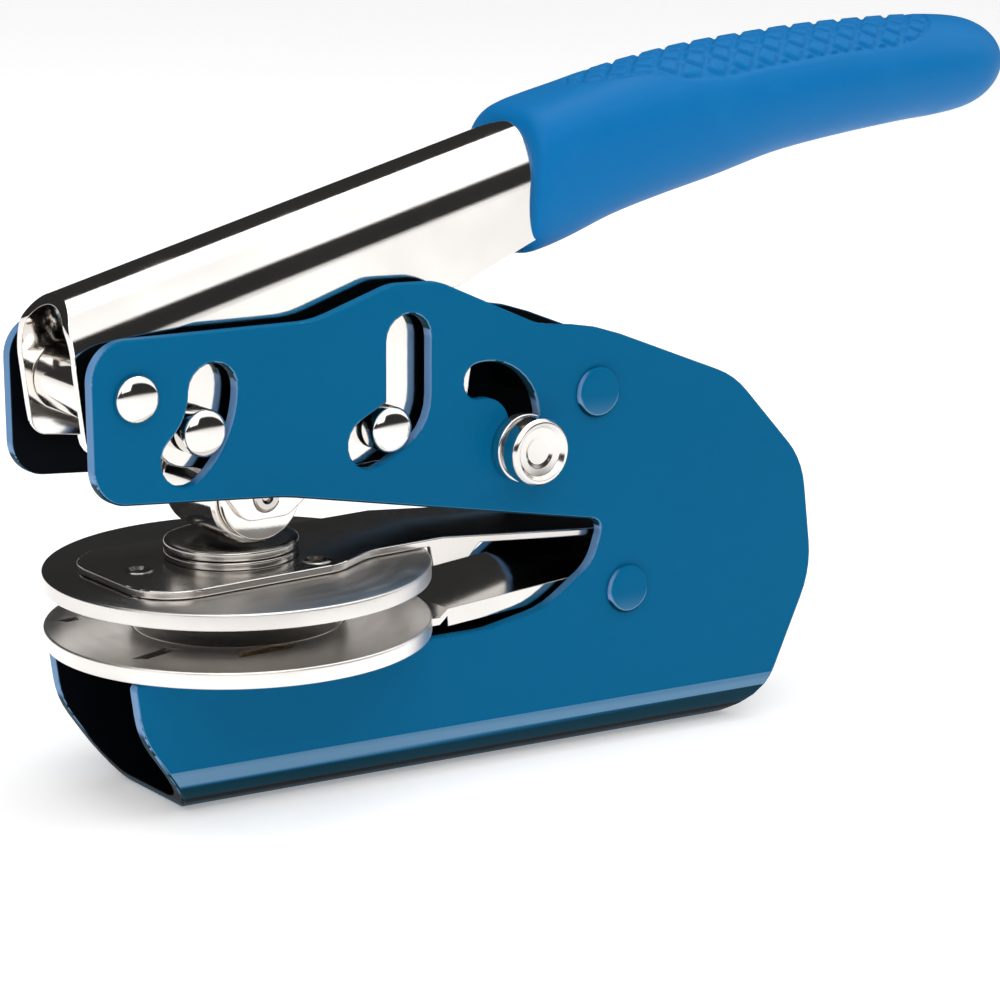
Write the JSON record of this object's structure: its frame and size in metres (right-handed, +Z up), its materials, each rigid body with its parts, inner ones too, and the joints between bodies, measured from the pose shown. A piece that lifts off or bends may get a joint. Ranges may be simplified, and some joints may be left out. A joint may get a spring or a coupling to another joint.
{
  "type": "hand-held paper embosser",
  "caption": "Hand embosser: folded steel frame, rubber-gripped lever, press arm with roller over a two-leaf die clip with round carriers, sliding lock knob.",
  "frame": {"origin": "middle of the flat underside of the frame, on the centre plane between the cheeks", "axes": "+X towards the free end of the grip, +Y across the tool to the side away from the lock knob, +Z up from the surface it stands on"},
  "size_m": [0.1547, 0.05, 0.0975],
  "materials": {
    "blue_paint": "satin stove enamel",
    "bright_nickel": "polished nickel plate",
    "dark_nickel": "plated spring steel",
    "die_metal": "matt die plate",
    "blue_rubber": "moulded soft grip"
  },
  "bodies": {
    "frame_body": {"frame": "blue_paint", "rivet_upper": "blue_paint", "rivet_lower": "blue_paint", "pivot_pin": "bright_nickel", "pivot_bush": "bright_nickel", "lower_leaf": "dark_nickel", "lower_disc": "bright_nickel", "lower_die": "die_metal", "clip_spacer": "dark_nickel", "clip_rivet_a": "bright_nickel", "clip_rivet_b": "bright_nickel"},
    "lever_body": {"lever": "bright_nickel", "grip": "blue_rubber", "crank_pin": "bright_nickel", "crank_spacer": "dark_nickel"},
    "press_arm_body": {"arm_near": "bright_nickel", "arm_far": "bright_nickel", "guide_pin": "bright_nickel", "guide_spacer": "dark_nickel", "roller_axle": "dark_nickel", "roller_washer_near": "bright_nickel", "roller_washer_far": "bright_nickel"},
    "roller_body": {"roller": "bright_nickel"},
    "upper_clip_body": {"upper_leaf": "dark_nickel", "upper_disc": "bright_nickel", "upper_die": "die_metal", "press_pad_base": "dark_nickel", "press_pad_cap": "dark_nickel", "leaf_rivet_front": "dark_nickel", "leaf_rivet_near": "dark_nickel", "leaf_rivet_far": "dark_nickel"},
    "lock_body": {"lock_knob": "bright_nickel", "lock_washer": "dark_nickel"}
  },
  "joints": [
    {"name": "lever_pivot", "type": "hinge", "parent": "frame_body", "child": "lever_body", "pos_m": [-0.05288, 0, 0.05444], "axis": [0, 1, 0], "range_deg": [0, 13]},
    {"name": "arm_pivot", "type": "hinge", "parent": "lever_body", "child": "press_arm_body", "pos_m": [-0.04322, 0, 0.0494], "axis": [0, 1, 0], "range_deg": [-16, 0]},
    {"name": "roller_spin", "type": "hinge", "parent": "press_arm_body", "child": "roller_body", "pos_m": [-0.03232, 0, 0.03972], "axis": [0, 1, 0], "continuous": true},
    {"name": "clip_flex", "type": "hinge", "parent": "frame_body", "child": "upper_clip_body", "pos_m": [0.03486, 0, 0.02774], "axis": [0, 1, 0], "range_deg": [-1.3, 0]},
    {"name": "lock_swing", "type": "hinge", "parent": "frame_body", "child": "lock_body", "pos_m": [-0.00077, 0, 0.0461], "axis": [0, -1, 0], "range_deg": [0, 125]}
  ],
  "couplings": [
    {"joint": "arm_pivot", "follows": "lever_pivot", "ratio": -1.2236},
    {"joint": "clip_flex", "follows": "lever_pivot", "ratio": -0.094}
  ]
}
